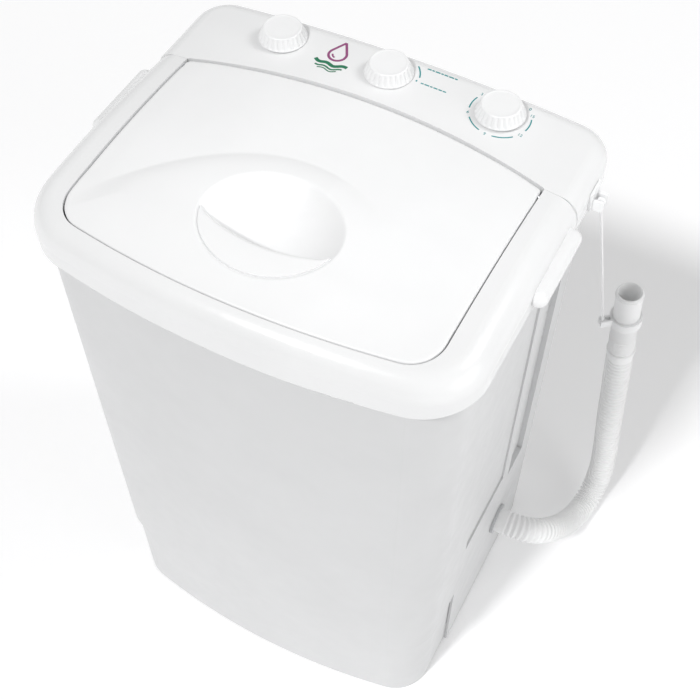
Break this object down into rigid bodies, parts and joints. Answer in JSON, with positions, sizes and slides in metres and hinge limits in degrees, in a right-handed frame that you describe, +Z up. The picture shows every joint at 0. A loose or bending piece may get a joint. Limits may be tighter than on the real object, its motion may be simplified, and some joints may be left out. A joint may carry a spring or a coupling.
{
  "type": "washing machine",
  "caption": "Compact top-loading tub washer with a hinged lid, rotary controls on a rear console, a belt-driven pulsator and a corrugated drain hose hung beside the cabinet.",
  "frame": {"origin": "on the floor under the middle of the object's bounding box, free hose not counted", "axes": "+Z up, front towards -Y, +X to the right of a person facing the front"},
  "size_m": [0.4908, 0.3918, 0.641],
  "materials": {
    "white_abs": "satin moulded white plastic",
    "top_abs": "glossy moulded white plastic",
    "lid_abs": "glossy moulded white plastic",
    "knob_abs": "glossy moulded white plastic",
    "tub_pp": "satin polypropylene",
    "mesh_nylon": "fine nylon mesh",
    "base_pp": "matt grey polypropylene",
    "rubber": "soft black rubber",
    "steel": "zinc-plated steel",
    "motor_paint": "dark painted steel",
    "bronze": "sintered bronze",
    "black_pa": "matt black moulding",
    "switch_pa": "natural nylon",
    "hose_pe": "soft satin polyethylene",
    "clip_pp": "satin white polypropylene"
  },
  "bodies": {
    "cabinet": {"base_frame": "base_pp", "bearing_housing": "base_pp", "bracket_screws": "steel", "cabinet_shell": "white_abs", "capacitor": "black_pa", "capacitor_clip": "base_pp", "console": "top_abs", "cord_gland": "base_pp", "drain_grate": "tub_pp", "drain_hose": "hose_pe", "drain_spigot": "base_pp", "drain_sump": "base_pp", "drain_tube": "rubber", "drain_tube_clamps": "steel", "drive_belt": "rubber", "feet": "rubber", "filter_channel": "tub_pp", "front_plinth": "white_abs", "handle_left": "top_abs", "handle_right": "top_abs", "hinge_pins": "steel", "hose_clamp": "clip_pp", "hose_clip": "clip_pp", "hose_cuff": "hose_pe", "hose_strap": "clip_pp", "lid_bumpers": "rubber", "mode_switch": "switch_pa", "motor_body": "motor_paint", "motor_bolts": "steel", "motor_bracket": "steel", "motor_end_caps": "motor_paint", "motor_mounts": "rubber", "rear_cover": "white_abs", "rear_cover_screws": "steel", "shaft_bushes": "bronze", "shaft_seal": "rubber", "spin_timer": "switch_pa", "timer_bracket": "steel", "top_deck": "top_abs", "tub_gasket": "rubber", "wash_timer": "switch_pa", "wash_tub": "tub_pp"},
    "lid": {"lid_panel": "lid_abs", "lid_grip": "lid_abs"},
    "left_knob": {"left_knob": "knob_abs", "left_knob_shaft": "steel"},
    "middle_knob": {"middle_knob": "knob_abs", "middle_knob_shaft": "steel"},
    "right_knob": {"right_knob": "knob_abs", "right_knob_shaft": "steel"},
    "pulsator": {"pulsator": "tub_pp", "pulsator_shaft": "steel", "pulsator_screw": "steel", "driven_pulley": "black_pa", "pulley_nut": "steel"},
    "rotor": {"motor_rotor": "steel", "motor_pulley": "steel"},
    "filter": {"filter_cassette": "tub_pp", "filter_mesh": "mesh_nylon"}
  },
  "joints": [
    {"name": "lid_hinge", "type": "hinge", "parent": "cabinet", "child": "lid", "pos_m": [0, 0.066, 0.618], "axis": [-1, 0, 0], "range_deg": [0, 95]},
    {"name": "left_knob_turn", "type": "hinge", "parent": "cabinet", "child": "left_knob", "pos_m": [-0.1043, 0.1305, 0.63], "axis": [0, 0, -1], "range_deg": [0, 300]},
    {"name": "middle_knob_turn", "type": "hinge", "parent": "cabinet", "child": "middle_knob", "pos_m": [0, 0.1305, 0.63], "axis": [0, 0, -1], "range_deg": [-45, 45]},
    {"name": "right_knob_turn", "type": "hinge", "parent": "cabinet", "child": "right_knob", "pos_m": [0.1043, 0.1305, 0.63], "axis": [0, 0, -1], "range_deg": [0, 300]},
    {"name": "pulsator_spin", "type": "hinge", "parent": "cabinet", "child": "pulsator", "pos_m": [0, -0.038, 0.2], "axis": [0, 0, 1], "continuous": true},
    {"name": "motor_spin", "type": "hinge", "parent": "cabinet", "child": "rotor", "pos_m": [-0.008, 0.098, 0.14], "axis": [0, 0, 1], "continuous": true},
    {"name": "filter_lift", "type": "slide", "parent": "cabinet", "child": "filter", "axis": [0, 0, 1], "range_m": [0, 0.05]}
  ],
  "couplings": [
    {"joint": "motor_spin", "follows": "pulsator_spin", "ratio": 4.5833}
  ]
}
